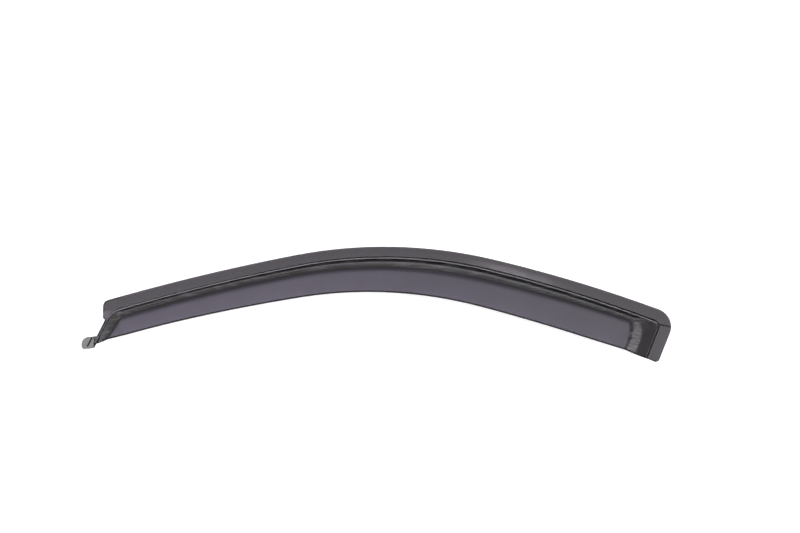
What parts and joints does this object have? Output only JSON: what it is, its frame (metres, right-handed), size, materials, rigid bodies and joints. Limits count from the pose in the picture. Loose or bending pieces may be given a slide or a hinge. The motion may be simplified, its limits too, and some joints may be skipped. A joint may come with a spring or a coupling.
{
  "type": "window rain deflector",
  "caption": "Long curved smoked-acrylic visor for a car's front side window: flat taped flange, stand-off blade, pointed nose with a small tab, and a leg at the rear.",
  "frame": {"origin": "bottom centre of the bounding box, in the plane of the tape's adhesive face, which is the plane of the door frame", "axes": "+X runs along the door frame from the pointed nose to the rear leg, +Y runs up across the window to the flange, +Z points out from the door, towards the blade's outer face"},
  "size_m": [0.9964, 0.198, 0.0289],
  "materials": {
    "smoke_acrylic": "glossy dark smoke tint, slightly see-through, fine handling scuffs",
    "foam_tape": "dull black closed-cell foam"
  },
  "bodies": {
    "root": {"visor": "smoke_acrylic", "top_tape": "foam_tape", "leg_tape": "foam_tape"}
  },
  "joints": []
}
